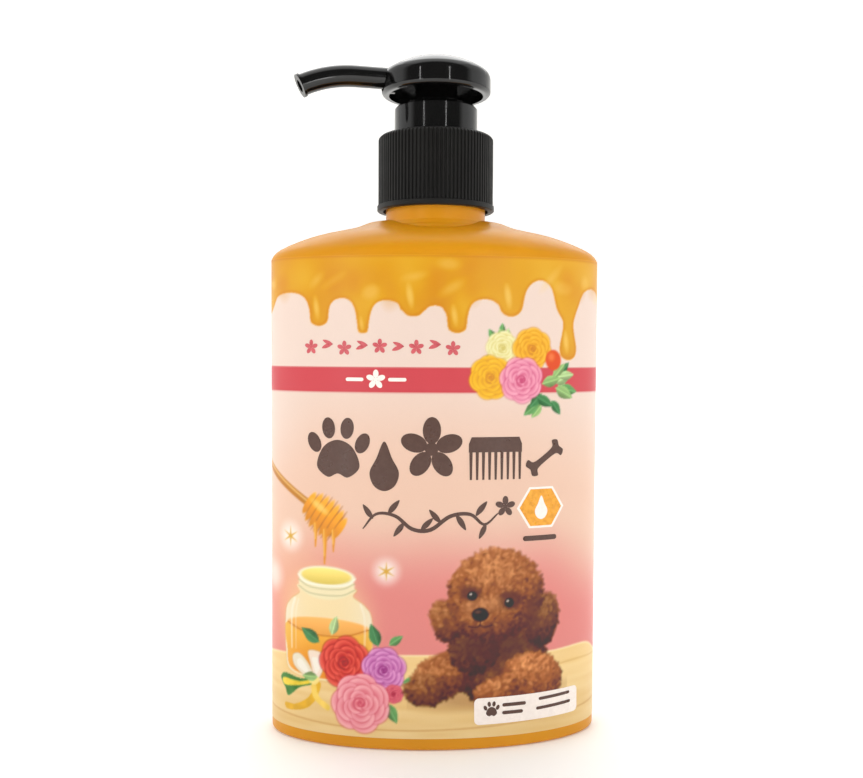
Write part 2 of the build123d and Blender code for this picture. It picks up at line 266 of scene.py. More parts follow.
def value_noise(s, z, scale, seed):
    """Smooth noise from 0 to 1 with features of the given size in millimetres."""
    size, far = 64, 1000  # the table's side, and a shift that keeps every cell number positive
    table = np.random.default_rng(seed).random((size, size))
    u, v = s / scale + far, z / scale + far
    i, j = np.floor(u).astype(int), np.floor(v).astype(int)
    fu, fv = smoothstep(u - i, 0, 1), smoothstep(v - j, 0, 1)
    corner = [table[(i + a) % size, (j + b) % size] for a in (0, 1) for b in (0, 1)]
    low = corner[0] * (1 - fu) + corner[2] * fu
    high = corner[1] * (1 - fu) + corner[3] * fu
    return low * (1 - fv) + high * fv


LINE_SOFT = 0.2  # width of a painted line's soft edge


class Print:
    """A painted sheet over a span of the label, in display colours 0-255, at twice the dots' pitch."""

    def __init__(self, s_low, s_high, cell):
        self.columns = int(round((s_high - s_low) / cell))
        self.rows = int(round((TOP - BOTTOM) / cell))
        self.s = np.linspace(s_low, s_high, 2 * self.columns + 1)
        self.z = np.linspace(BOTTOM, TOP, 2 * self.rows + 1)
        self.ink = np.zeros((len(self.z), len(self.s), 3))

    def window(self, s_low=-999, s_high=999, z_low=-999, z_high=999):
        """The ink's slice inside the given bounds, with its s and z grids."""
        i = np.searchsorted(self.s, [s_low, s_high])
        j = np.searchsorted(self.z, [z_low, z_high])
        spot = (slice(j[0], j[1]), slice(i[0], i[1]))
        return spot, *np.meshgrid(self.s[spot[1]], self.z[spot[0]])

    def lay(self, spot, mask, colour):
        """Mixes a colour in where the mask, 0 to 1, says so."""
        if not mask.size:
            return
        self.ink[spot] = mix(self.ink[spot], colour, mask[..., None])

    def blob(self, s, z, rx, ry, colour, turn=0.0, soft=0.25, alpha=1.0):
        """An ellipse; colour may be a function of its own (u, v, reach)."""
        far = max(rx, ry) + soft
        spot, gs, gz = self.window(s - far, s + far, z - far, z + far)
        c, d = math.cos(turn), math.sin(turn)
        u = ((gs - s) * c + (gz - z) * d) / rx
        v = (-(gs - s) * d + (gz - z) * c) / ry
        reach = np.hypot(u, v)
        mask = np.clip((1 - reach) * min(rx, ry) / soft + 0.5, 0, 1) * alpha
        self.lay(spot, mask, colour(u, v, reach) if callable(colour) else colour)

    def glow(self, s, z, radius, colour, alpha):
        """A round patch that fades out towards its edge."""
        spot, gs, gz = self.window(s - radius, s + radius, z - radius, z + radius)
        reach = np.hypot(gs - s, gz - z) / radius
        self.lay(spot, alpha * (1 - smoothstep(reach, 0.15, 1)), colour)

    def inside(self, points):
        """Window and mask of a closed outline."""
        p = np.asarray(points, float)
        spot, gs, gz = self.window(p[:, 0].min(), p[:, 0].max(), p[:, 1].min(), p[:, 1].max())
        hit = np.zeros(gs.shape, bool)
        for (s0, z0), (s1, z1) in zip(p, np.roll(p, -1, 0)):
            if z0 != z1:
                crosses = (z0 > gz) != (z1 > gz)
                hit ^= crosses & (gs < (s1 - s0) * (gz - z0) / (z1 - z0) + s0)
        return spot, gs, gz, hit.astype(float)

    def shape(self, points, colour, alpha=1.0):
        """A closed outline; colour may be a function of (s, z, mask)."""
        spot, gs, gz, mask = self.inside(points)
        self.lay(spot, mask * alpha, colour(gs, gz, mask) if callable(colour) else colour)

    def line(self, points, width, colour, alpha=1.0, taper=0.0):
        """A stroke; taper thins it towards its end."""
        p = np.asarray(points, float)
        (s_low, z_low), (s_high, z_high) = p.min(0) - width, p.max(0) + width
        spot, gs, gz = self.window(s_low, s_high, z_low, z_high)
        mask = np.zeros(gs.shape)
        for k, (a, b) in enumerate(zip(p[:-1], p[1:])):
            run = b - a
            t = np.clip(((gs - a[0]) * run[0] + (gz - a[1]) * run[1]) / max(run @ run, 1e-9), 0, 1)
            away = np.hypot(gs - a[0] - t * run[0], gz - a[1] - t * run[1])
            wide = width * (1 - taper * (k + t) / (len(p) - 1)) / 2
            mask = np.maximum(mask, np.clip((wide - away) / LINE_SOFT + 0.5, 0, 1))
        self.lay(spot, mask * alpha, colour)

    def dots(self):
        """The sheet averaged to one colour per grid corner, scene linear."""
        padded = np.pad(self.ink, ((1, 1), (1, 1), (0, 0)), mode="edge")
        kernel = np.array([0.25, 0.5, 0.25])
        rows = sum(k * padded[i:i + self.ink.shape[0]] for i, k in enumerate(kernel))
        both = sum(k * rows[:, i:i + self.ink.shape[1]] for i, k in enumerate(kernel))
        return np.clip(linear(np.clip(both[::2, ::2], 0, 255)) - GLOSS_VEIL, 0.002, 1)


def blurred(mask, cells):
    """A box blur, for soft edges inside a shape."""
    out = mask
    for axis in (0, 1):
        pad = [(cells + 1, cells) if a == axis else (0, 0) for a in (0, 1)]
        run = np.cumsum(np.pad(out, pad), axis=axis)
        size = out.shape[axis]
        take = [slice(None)] * 2
        high, low = list(take), list(take)
        high[axis] = slice(2 * cells + 1, 2 * cells + 1 + size)
        low[axis] = slice(0, size)
        out = (run[tuple(high)] - run[tuple(low)]) / (2 * cells + 1)
    return out


# ------------------------------------------------------------------ the print's motifs

BAND_LOW, BAND_HIGH = 90.3, 96.7
CREAM, PEACH, PINK = (238, 215, 202), (238, 200, 178), (230, 140, 134)
ROSE, BROWN = (211, 84, 91), (84, 56, 46)
HONEY, AMBER, HONEY_LIGHT = (228, 172, 58), (214, 142, 34), (248, 214, 122)
WOOD, WOOD_DARK = (252, 222, 162), (234, 188, 116)
GREENS = ((92, 142, 84), (134, 168, 104), (66, 120, 74), (160, 186, 128))
FUR_LIGHT, FUR_MID, FUR_DARK = (214, 148, 94), (152, 88, 50), (78, 40, 24)
LONG_DRIP = 12  # a drip longer than this hangs as a bulb on a thin neck
BOARD_ENDS = (20.6, 19.4)  # the board's height at the left and right sides


def paint_ground(sheet):
    """Cream at the top, warm peach in the middle, rose pink behind the picture."""
    spot, gs, gz = sheet.window()
    drift = 6 * (value_noise(gs, gz, 16, 1) - 0.5)
    z = gz + drift
    lag = 8 * smoothstep(np.abs(gs), 26, 48)
    down = smoothstep(100 - z - lag, 0, 34)[..., None]
    low = smoothstep(63 - z - lag, 0, 25)[..., None]
    sheet.ink[:] = mix(mix(CREAM, PEACH, down), PINK, low)
    sheet.lay(spot, 0.5 * np.exp(-((gs + 36) / 12) ** 2 - ((gz - 36) / 14) ** 2), (252, 206, 150))


def drip_outline(drips, crests, left, right):
    """The honey's lower edge: a round tip for each drip and a high arch to the next."""
    points = [(left, TOP + 2), (left, drips[0][1] + 9)]
    for k, (s, tip, half) in enumerate(drips):
        roof = min(crests[max(k - 1, 0)], crests[min(k, len(crests) - 1)])
        up = min(1.5, 0.62 * (roof - tip) / half)
        bulb = [(0.98, up), (0.84, 0.45), (0.46, 0.1)]
        if roof - tip > LONG_DRIP:
            bulb = [(0.62, 3.4), (0.66, 2.5), (0.94, 1.2), *bulb[1:]]
        bulb = [(-x, y) for x, y in bulb] + [(0, 0)] + bulb[::-1]
        points += [(s + half * x, tip + half * y) for x, y in bulb]
        if k < len(crests):
            after, after_tip, after_half = drips[k + 1]
            start, gap = s + half, after - after_half - s - half
            for x, y in ((0.08, 0.55), (0.24, 0.88), (0.5, 1.0), (0.76, 0.88), (0.92, 0.55)):
                foot = tip + bulb[0][1] * half
                if x >= 0.5:
                    foot = after_tip + 0.5 * min(3 * after_half, crests[k] - after_tip)
                points.append((start + x * gap, foot + y * (crests[k] - foot)))
    points += [(right, drips[-1][1] + 9), (right, TOP + 2)]
    return points


def paint_honey(sheet, drips, crests, left, right, seed):
    """Honey running down from the top, with amber edges, a light rim and soft shines."""
    outline = smooth_line(drip_outline(drips, crests, left, right), closed=False)
    spot, gs, gz, mask = sheet.inside(np.vstack([outline, [(left, TOP + 2)]]))
    near = blurred(mask, 7)
    tone = value_noise(gs, gz, 7, seed)[..., None]
    wide = value_noise(gs, gz, 15, seed + 1)[..., None]
    colour = mix(mix(AMBER, HONEY, tone), (240, 190, 90), 0.3 * (1 - wide))
    edge = (smoothstep(1 - near, 0.06, 0.42) * (1 - smoothstep(1 - near, 0.40, 0.56)))[..., None]
    colour = mix(colour, (206, 124, 22), 0.55 * edge)
    rim = smoothstep(1 - blurred(mask, 2), 0.12, 0.4)[..., None]
    sheet.lay(spot, mask, mix(colour, (240, 176, 62), 0.7 * rim))
    for s, tip, half in drips:
        sheet.blob(s - half * 0.25, tip + 1.6 * half, half * 0.24, half * 0.8, HONEY_LIGHT, 0.15, 0.8, 0.55)
    shine = np.random.default_rng(seed)
    for _ in range(int((right - left) / 9)):
        s, z = shine.uniform(left + 4, right - 4), shine.uniform(TOP - 11, TOP - 2)
        tilt = shine.uniform(-0.6, 0.9)
        sheet.blob(s, z, shine.uniform(1.2, 3.2), shine.uniform(0.6, 1.6), (246, 206, 118), tilt, 1.4, 0.35)
        sheet.blob(s + 5, z - 1, 2.8, 1.9, (214, 134, 34), tilt + 1, 2.4, 0.25)


def paint_band(sheet):
    """The rose red band, a little darker at its edges."""
    spot, gs, gz = sheet.window(z_low=BAND_LOW, z_high=BAND_HIGH)
    sheet.lay(spot, np.ones(gs.shape), ROSE)
    edge = np.minimum(gz - BAND_LOW, BAND_HIGH - gz)
    sheet.lay(spot, 0.35 * (1 - smoothstep(edge, 0, 0.5)), (190, 62, 72))


def paint_rose(sheet, s, z, radius, light, mid, dark, seed):
    """A rose seen from the front: rings of overlapping petals round a tight heart."""
    rng = np.random.default_rng(seed)
    sheet.blob(s, z, radius * 0.92, radius * 0.92, mix(mid, dark, 0.1), soft=0.5)
    rings = ((7, 0.60, 0.46), (6, 0.47, 0.42), (5, 0.33, 0.34), (4, 0.20, 0.26), (3, 0.10, 0.17))
    for count, away, size in rings:
        start = rng.uniform(0, 6.28)
        for k in range(count):
            angle = start + 2 * math.pi * (k + rng.uniform(-0.15, 0.15)) / count
            ps, pz = s + away * radius * math.cos(angle), z + away * radius * math.sin(angle)

            def petal(u, v, reach):
                lip = 0.75 * smoothstep(reach, 0.35, 0.97) * (u > -0.6)
                lit = np.clip(0.25 + lip + 0.25 * v, 0, 1)[..., None]
                inner = smoothstep(-u, 0.1, 1.0)[..., None]
                return mix(mix(mix(mid, dark, 0.45), mix(mid, light, 0.75), lit), dark, 0.5 * inner)

            sheet.blob(ps, pz, size * radius * 1.04, size * radius * 1.12, dark, angle, 0.3, 0.45)
            sheet.blob(ps, pz, size * radius * 0.93, size * radius * 1.05, petal, angle, 0.25, 0.95)
    turn = np.linspace(0, 11, 40)
    spiral = np.stack([s + radius * 0.024 * turn * np.cos(turn), z + radius * 0.024 * turn * np.sin(turn)], 1)
    sheet.line(spiral, 0.045 * radius + 0.12, dark, 0.75)


def paint_leaf(sheet, s, z, length, angle, green):
    """A pointed leaf with a pale midrib, from its stalk at (s, z)."""
    green = np.array(green, float)
    t = np.linspace(0, 1, 9)
    width = 0.26 * length * np.sin(math.pi * t**0.8)
    along = np.concatenate([t, t[::-1]]) * length
    across = np.concatenate([width, -width[::-1]])
    c, d = math.cos(angle), math.sin(angle)
    outline = np.stack([s + along * c - across * d, z + along * d + across * c], 1)

    def tone(gs, gz, mask):
        side = (-(gs - s) * d + (gz - z) * c)[..., None] / (0.26 * length)
        return green * (1 + 0.22 * np.clip(side, -1, 1)) + 12 * value_noise(gs, gz, 0.8, 5)[..., None]

    sheet.shape(outline, tone)
    sheet.line([(s, z), (s + 0.92 * length * c, z + 0.92 * length * d)], 0.28, green * 1.35 + 20, 0.7)


def paint_sprig(sheet, s, z, reach, seed, count, spread):
    """Leaves scattered round (s, z), their angles within the spread."""
    rng = np.random.default_rng(seed)
    for k in range(count):
        angle = rng.uniform(*spread)
        away = reach * rng.uniform(0.2, 0.6)
        length = reach * rng.uniform(0.45, 0.7)
        paint_leaf(sheet, s + away * math.cos(angle), z + away * math.sin(angle), length,
                   angle + rng.uniform(-0.5, 0.5), GREENS[k % len(GREENS)])


def paint_bouquet(sheet):
    """Four roses, a bud and leaves over the band's right end."""
    paint_sprig(sheet, 28.5, 92, 9.0, 11, 12, (-2.4, 0.9))
    paint_sprig(sheet, 17, 101, 6.5, 12, 5, (1.2, 3.8))
    paint_rose(sheet, 16.2, 101.6, 4.2, (250, 246, 206), (240, 228, 150), (206, 186, 96), 21)
    paint_rose(sheet, 24.2, 101.4, 5.2, (255, 206, 84), (243, 170, 44), (206, 122, 20), 22)
    paint_rose(sheet, 13.2, 94.2, 5.4, (254, 208, 72), (244, 176, 40), (208, 128, 20), 23)
    sheet.blob(30.2, 98.6, 2.3, 2.6, (226, 88, 48), 0.2, 0.4)
    sheet.blob(29.6, 99.4, 0.9, 1.0, (244, 140, 84), 0.2, 0.9, 0.7)
    paint_rose(sheet, 21.3, 93.6, 5.7, (252, 190, 206), (236, 130, 160), (196, 66, 108), 24)
    paint_leaf(sheet, 25.5, 89.4, 5.4, -0.5, GREENS[2])
    paint_leaf(sheet, 27.0, 92.6, 5.6, 0.25, GREENS[1])


def wood_grain(gs, gz, mask):
    """Long pale grain, a little darker towards the bottom."""
    tone = value_noise(gs * 0.12, gz + 0.015 * gs, 1.1, 31)
    tone = (0.6 * tone + 0.4 * value_noise(gs * 0.3, gz, 4.5, 32))[..., None]
    far = smoothstep(gz, BOTTOM, 24)[..., None]
    return mix(WOOD, WOOD_DARK, 0.65 * (1 - tone)) * (0.96 + 0.04 * far)


def paint_table(sheet):
    """A pale wooden board with a low back edge and long grain."""
    left, right = BOARD_ENDS
    board = smooth_line([(-EDGE - 1, left), (-46, 21.8), (-40, 22.4), (-20, 24.0), (-5, 24.4), (8, 24.4),
                         (20, 23.8), (30, 23.8), (42, 24.2), (48, 21.4), (EDGE + 1, right)], closed=False)
    sheet.shape(np.vstack([board, [(EDGE + 1, BOTTOM - 2), (-EDGE - 1, BOTTOM - 2)]]), wood_grain)
    sheet.line(board, 0.5, (255, 232, 180), 0.8)
    for joint, colour in (([(-EDGE, 7.2), (-20, 5.4), (10, 5.8), (EDGE, 8.4)], (206, 150, 84)),
                          ([(28, 19.5), (38, 20.5), (EDGE, 20.0)], (222, 176, 106))):
        sheet.line(smooth_line(joint, False), 0.35, colour, 0.7)


def paint_jar(sheet):
    """A squat glass jar of honey with a wide open neck."""
    s0 = -28.8
    sheet.glow(s0, 32, 17, (255, 228, 168), 0.75)
    body = [(-7.4, 41.0), (-7.6, 38.8), (-10.6, 36.6), (-12.4, 33.2), (-12.4, 23.6), (-10.6, 18.0), (0, 16.6),
            (10.6, 18.0), (12.4, 23.6), (12.4, 33.2), (10.6, 36.6), (7.6, 38.8), (7.4, 41.0)]
    body = smooth_line([(s0 + x, z) for x, z in body])

    def glass(gs, gz, mask):
        u = np.clip(np.abs(gs - s0) / 12.4, 0, 1)[..., None]
        return mix((248, 224, 174), (246, 232, 204), u**3)

    def liquid(gs, gz, mask):
        u = np.clip((gs - s0) / 12.2, -1, 1)[..., None]
        deep = smoothstep(31 - gz, 0, 13)[..., None]
        colour = mix(mix((246, 182, 72), (238, 148, 48), deep), (253, 210, 112), 0.5 * u**4)
        return colour + 10 * (value_noise(gs, gz, 3, 41)[..., None] - 0.5)

    sheet.shape(body, glass)
    fill = [(-11.8, 30.6), (-11.8, 23.4), (-10.2, 18.6), (0, 17.2), (10.2, 18.6), (11.8, 23.4), (11.8, 30.6),
            (0, 28.2)]
    sheet.shape(smooth_line([(s0 + x, z) for x, z in fill]), liquid)
    sheet.blob(s0, 30.6, 11.6, 2.3, lambda u, v, r: np.array((249, 179, 93)) + 15 * v[..., None], soft=0.3)
    surface = [(-11.6, 30.6), (-6, 28.8), (0, 28.3), (6, 28.8), (11.6, 30.6)]
    sheet.line(smooth_line([(s0 + x, z) for x, z in surface], False), 0.3, (198, 112, 34), 0.8)
    for shift, wide in ((-10.2, 0.8), (-8.8, 0.3), (10.5, 0.5)):
        shine = smooth_line([(s0 + shift * 0.9, 37.0), (s0 + shift, 33), (s0 + shift, 24)], False)
        sheet.line(shine, wide, (253, 242, 222), 0.7, 0.5)
    sheet.line(body[8:-8], 0.28, (222, 176, 110), 0.5)
    sheet.blob(s0, 41.4, 7.9, 3.8, (246, 232, 190), soft=0.3)
    sheet.blob(s0, 43.4, 8.1, 2.8, (246, 238, 206), soft=0.3)
    sheet.blob(s0, 43.6, 7.0, 2.1, lambda u, v, r: np.array((246, 220, 118)) + 22 * v[..., None], soft=0.3)
    for ridge in (39.6, 41.2):
        groove = [(s0 + x, ridge + rise) for x, rise in ((-7.9, 0.9), (-4, -0.7), (4, -0.7), (7.9, 0.9))]
        sheet.line(smooth_line(groove, False), 0.3, (190, 182, 132), 0.7)
    lip = smooth_line([(s0 - 8.1, 43.4), (s0 - 5, 41.5), (s0 + 5, 41.5), (s0 + 8.1, 43.4)], False)
    sheet.line(lip, 0.3, (255, 252, 236), 0.9)


def paint_dipper(sheet):
    """A wooden honey dipper from the left edge, with honey running off its head."""
    sheet.line([(-53, 73.4), (-33.8, 62.0)], 2.0, (196, 128, 52))
    sheet.line([(-53, 73.9), (-34.2, 62.6)], 0.5, (236, 190, 118), 0.9)
    cs, cz, turn = -29.2, 59.0, -0.62
    rings, half_length, groove = 7, 5.2, 0.87
    c, d = math.cos(turn), math.sin(turn)
    for k, along in enumerate(np.linspace(-half_length, half_length, rings)):
        wide = 4.9 * math.sqrt(max(0.12, 1 - (along / 7.0) ** 2))
        sheet.blob(cs + along * c, cz + along * d, 0.95, wide,
                   lambda u, v, r: np.array((232, 150, 34)) + 42 * (v[..., None] * 0.6 + 0.25), turn, 0.25)
        along += groove
        if k < rings - 1:
            sheet.blob(cs + along * c, cz + along * d, 0.22, wide * 0.86, (170, 88, 14), turn, 0.3)
    for s, top, tip, wide in ((-31.6, 57, 51.0, 1.3), (-29.0, 55.5, 46.8, 1.5), (-26.6, 55.5, 50.0, 1.2)):
        sheet.line([(s, top), (s + 0.1, (top + tip) / 2), (s, tip)], wide, (232, 150, 40), 0.95, 0.75)
        sheet.line([(s - 0.2, top), (s - 0.1, tip + 2)], 0.3, (252, 210, 120), 0.8)
    sheet.blob(cs - 1.2, cz + 2.2, 2.6, 0.9, (255, 220, 130), turn, 0.9, 0.7)


def paint_sparkle(sheet, s, z, size):
    """A six-pointed golden star in a pale glow."""
    sheet.glow(s, z, 2.1 * size, (255, 246, 238), 0.85)
    for k in range(6):
        angle = math.pi * (k / 3 + 1 / 6)
        tip = (s + size * math.cos(angle), z + size * math.sin(angle))
        sheet.line([(s, z), tip], 0.62, (222, 172, 74), 1.0, 0.9)


def paint_ribbon(sheet):
    """A cream bow with a green and gold ribbon at the left of the flowers."""
    tails = (((74, 132, 64), [(-32, 17.2), (-36, 16.4), (-41.4, 17.0), (-43.2, 15.4), (-41.4, 13.0),
                              (-40.2, 11.2), (-36.4, 14.0), (-32, 15.6)]),
             ((242, 212, 70), [(-32, 16.8), (-36.4, 15.6), (-42.0, 15.6), (-41.6, 13.8), (-36.2, 14.6),
                               (-32, 16.0)]),
             ((232, 178, 48), [(-31.4, 16.0), (-33.6, 12.0), (-38.0, 9.4), (-41.4, 9.2), (-40.6, 7.6),
                               (-35.0, 8.6), (-31.6, 11.4), (-30.0, 15.6)]),
             ((244, 206, 96), [(-31.6, 16.0), (-30.6, 12.6), (-27.6, 10.4), (-28.4, 9.2), (-32.2, 12.0),
                               (-32.8, 15.6)]))
    for colour, points in tails:
        sheet.shape(smooth_line(points), lambda gs, gz, mask, c=colour: np.array(c)
                    + 26 * (value_noise(gs, gz, 1.4, 91)[..., None] - 0.5))
    loops = (((240, 228, 204), [(-32.0, 16.8), (-35.0, 17.4), (-38.2, 19.6), (-38.6, 22.2), (-36.2, 22.8),
                                (-33.4, 20.2)]),
             ((248, 226, 206), [(-31.8, 16.8), (-33.0, 20.6), (-33.6, 24.0), (-29.6, 23.6), (-29.4, 20.0),
                                (-30.6, 17.2)]))
    for colour, points in loops:
        points = smooth_line(points)
        sheet.shape(points, colour)
        middle = points.mean(0)
        sheet.shape(middle + 0.55 * (points - middle), (252, 246, 232), 0.8)
        sheet.line(np.vstack([points, points[:1]]), 0.22, (214, 184, 138), 0.8)
    sheet.blob(-32.0, 16.6, 1.5, 1.2, (250, 226, 140), 0.3, 0.3)


def paint_posy(sheet):
    """Three open roses, a bud and leaves in front of the jar."""
    for s, z, size, angle in ((-30.5, 26.5, 6.2, 2.6), (-27.0, 28.8, 5.0, 1.3), (-14.8, 26.6, 6.0, 1.9),
                              (-12.0, 27.0, 4.2, 0.6), (-31, 17.5, 4.6, 3.2), (-12.5, 12.0, 5.6, -1.1),
                              (-8.5, 17.5, 4.0, 0.2)):
        paint_leaf(sheet, s, z, size, angle, GREENS[int(size * 3) % 4])
    paint_rose(sheet, -23.6, 22.0, 6.6, (246, 112, 92), (222, 58, 50), (150, 20, 24), 51)
    paint_rose(sheet, -13.4, 20.6, 5.6, (240, 178, 222), (208, 104, 178), (142, 44, 118), 52)
    paint_rose(sheet, -10.8, 14.6, 2.4, (246, 140, 150), (226, 84, 104), (164, 36, 62), 53)
    paint_rose(sheet, -19.4, 11.8, 7.4, (254, 192, 196), (240, 138, 148), (208, 74, 96), 54)


def paint_fur(sheet, s, z, rx, ry, seed, turn=0.0, shade=1.0, curl=0.8):
    """A fluffy mass: a soft base and many small curls, lit from above and in front."""
    rng = np.random.default_rng(seed)
    light, mid, dark = (np.array(c, float) * shade for c in (FUR_LIGHT, FUR_MID, FUR_DARK))
    sheet.blob(s, z, rx, ry, lambda u, v, r: mid * (0.86 + 0.12 * v[..., None]), turn, 0.9)
    c, d = math.cos(turn), math.sin(turn)
    count = int(9 * rx * ry / curl**2 * 0.55)
    reach = np.sqrt(rng.random(count)) * 1.03
    angle = rng.random(count) * 2 * math.pi
    for k in np.argsort(-reach):
        u, v = reach[k] * math.cos(angle[k]), reach[k] * math.sin(angle[k])
        ps, pz = s + u * rx * c - v * ry * d, z + u * rx * d + v * ry * c
        facing = 0.55 + 0.45 * v - 0.15 * u - 0.35 * reach[k] ** 4
        tone = np.clip(facing + rng.normal(0, 0.20), 0, 1)
        colour = mix(mid, light if tone > 0.5 else dark, abs(2 * tone - 1))
        size = curl * rng.uniform(0.6, 1.15)
        sheet.blob(ps, pz, size, size * 0.55, colour, angle[k] + rng.normal(0, 0.9), 0.35, 0.62)


def paint_puppy(sheet):
    """A curly brown puppy resting its paws on the board."""
    sheet.blob(14, 13.5, 19, 3.0, (150, 100, 60), 0.03, 2.6, 0.45)
    paint_fur(sheet, 17.0, 21.0, 12.5, 9.5, 61, 0, 0.80)
    paint_fur(sheet, 25.0, 17.5, 8.5, 6.5, 62, -0.25, 1.17)
    paint_fur(sheet, 1.8, 19.4, 8.6, 5.6, 63, 0.45, 1.08)
    paint_fur(sheet, -2.6, 15.6, 5.4, 4.0, 64, 0.1, 0.94)
    paint_fur(sheet, 15.2, 14.2, 5.6, 4.2, 65, 0.2, 1.12)
    paint_fur(sheet, 9.4, 25.6, 6.2, 6.0, 70, 0, 0.80)
    sheet.blob(14.5, 26.4, 9.4, 3.4, (88, 50, 34), 0.0, 2.4, 0.72)
    paint_fur(sheet, 2.2, 33.2, 3.6, 5.4, 66, 0.30, 1.0)
    paint_fur(sheet, 27.8, 32.2, 4.6, 7.0, 67, -0.18, 0.84)
    paint_fur(sheet, 15.2, 39.6, 12.2, 11.4, 68, 0, 1.09)
    sheet.blob(25.0, 34.0, 2.2, 6.5, (104, 60, 38), -0.2, 1.8, 0.5)
    paint_fur(sheet, 13.0, 33.6, 8.2, 5.8, 69, -0.08, 1.06, 0.7)
    for s, z, rx, ry in ((8.4, 40.0, 2.8, 1.9), (18.6, 37.9, 2.9, 2.5)):
        sheet.blob(s, z, rx, ry, (96, 52, 32), -0.2, 1.2, 0.75)
    for s, z in ((8.8, 39.4), (18.4, 37.3)):
        sheet.blob(s, z, 1.25, 1.2, (24, 14, 12), 0, 0.3)
        sheet.blob(s - 0.35, z + 0.45, 0.34, 0.3, (236, 226, 216), 0, 0.3)
    sheet.blob(11.8, 36.8, 5.4, 2.0, (196, 132, 88), 0.05, 1.4, 0.4)
    sheet.blob(10.9, 34.6, 2.2, 1.75, (52, 28, 22), 0, 0.4)
    sheet.blob(10.3, 35.3, 0.8, 0.4, (126, 92, 80), 0, 0.4, 0.7)
    for smile in ([(10.9, 33.0), (10.8, 31.9), (9.6, 31.4), (8.0, 31.7)],
                  [(10.8, 31.9), (12.2, 31.4), (14.0, 31.8)]):
        sheet.line(smooth_line(smile, False), 0.42, (66, 34, 24), 0.7)


def paint_front():
    """The front's picture, from one side of the bottle to the other."""
    sheet = Print(-EDGE, EDGE, CELL)
    paint_ground(sheet)
    drips = ((-50.5, 110.4, 5.0), (-30.6, 106.9, 2.9), (-18.9, 105.0, 1.5), (-6.3, 109.2, 3.2),
             (4.6, 105.2, 2.7), (18.3, 109.4, 3.2), (34.8, 98.6, 2.9), (52.0, 110.0, 3.4))
    crests = (115.4, 113.8, 113.2, 111.9, 113.6, 118.6, 117.0)
    paint_honey(sheet, drips, crests, -EDGE - 6, EDGE + 6, 71)
    paint_band(sheet)
    paint_bouquet(sheet)
    paint_table(sheet)
    paint_dipper(sheet)
    paint_sparkle(sheet, -39.4, 53.0, 2.6)
    paint_sparkle(sheet, -12.8, 45.6, 2.3)
    sheet.glow(-46.5, 42, 6, (255, 240, 230), 0.7)
    paint_jar(sheet)
    paint_ribbon(sheet)
    paint_posy(sheet)
    paint_puppy(sheet)
    return sheet


def paint_back(side):
    """Half of the back, from the side to the seam: ground, honey, band and the wooden board."""
    low, high = (EDGE, ROUND) if side > 0 else (-ROUND, -EDGE)
    sheet = Print(low, high, 2 * CELL)
    paint_ground(sheet)
    middle = (low + high) / 2
    drips = ((low, 110.2, 4.2), (middle - 13, 107.4, 2.9), (middle + 1, 103.6, 2.1),
             (middle + 14, 108.6, 3.0), (high, 110.2, 4.2))
    paint_honey(sheet, drips, (115.6, 114.0, 113.2, 116.0), low - 6, high + 6, 81 + side)
    paint_band(sheet)
    side_height = BOARD_ENDS[side > 0]
    back_edge = smooth_line([(side * EDGE, side_height), (side * (EDGE + 14), 22.4),
                             (side * (ROUND - 12), 23.4), (side * ROUND, 23.4)], closed=False)
    board = np.vstack([back_edge, [(side * ROUND, BOTTOM - 2), (side * EDGE, BOTTOM - 2)]])
    sheet.shape(board, wood_grain)
    sheet.line(back_edge, 0.5, (255, 232, 180), 0.8)
    return sheet


# ------------------------------------------------------------------ the sleeve's pieces


def add_piece(name, mesh, material):
    """A visible piece of the printed film, on the bottle."""
    piece = bpy.data.objects.new(name, mesh)
    bpy.context.scene.collection.objects.link(piece)
    mesh.materials.append(material)
    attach(piece, "bottle_body")
    return piece


def sheet_mesh(name, sheet):
    """The sheet as a grid that follows the sleeve, with a colour on each corner."""
    s = np.linspace(sheet.s[0], sheet.s[-1], sheet.columns + 1)
    z = np.linspace(BOTTOM, TOP, sheet.rows + 1)
    gs, gz = np.meshgrid(s, z)
    corners = on_sleeve(gs, gz).reshape(-1, 3)
    row = np.arange(sheet.columns)
    first = (np.arange(sheet.rows)[:, None] * (sheet.columns + 1) + row).ravel()
    quads = np.stack([first, first + 1, first + sheet.columns + 2, first + sheet.columns + 1], 1)
    mesh = bpy.data.meshes.new(name)
    mesh.from_pydata(corners.tolist(), [], quads.tolist())
    mesh.shade_smooth()
    colours = np.ones((len(corners), 4), np.float32)
    colours[:, :3] = sheet.dots().reshape(-1, 3)
    ink = mesh.color_attributes.new("print", "FLOAT_COLOR", "POINT")
    ink.data.foreach_set("color", colours.ravel())
    return mesh


def film_surface(n, roughness=0.36):
    """The film's gloss and its faint waves, shared by the print and the raised inks."""
    n.link(n.span(n.noise(300, 3), roughness - 0.05, roughness + 0.05), n.shader.inputs["Roughness"])
    fine = n.bump(n.noise(1400, 2), 0.10, 0.00003)
    n.link(n.bump(n.noise(35, 1, (1, 1, 0.5)), 0.10, 0.0005, fine), n.shader.inputs["Normal"])


def print_material():
    """Printed film: the painted colours under a fine dot screen."""
    n = Nodes("printed film")
    ink = n.node("ShaderNodeVertexColor", layer_name="print")
    screen = n.node("ShaderNodeMixRGB", blend_type="MULTIPLY")
    screen.inputs["Fac"].default_value = 0.5
    n.link(ink.outputs["Color"], screen.inputs["Color1"])
    grey = n.ramp(n.noise(5200, 2), (0.3, (0.93, 0.93, 0.93, 1)), (0.7, (1, 1, 1, 1)))
    n.link(grey, screen.inputs["Color2"])
    n.link(screen.outputs["Color"], n.shader.inputs["Base Color"])
    film_surface(n)
    return n.material


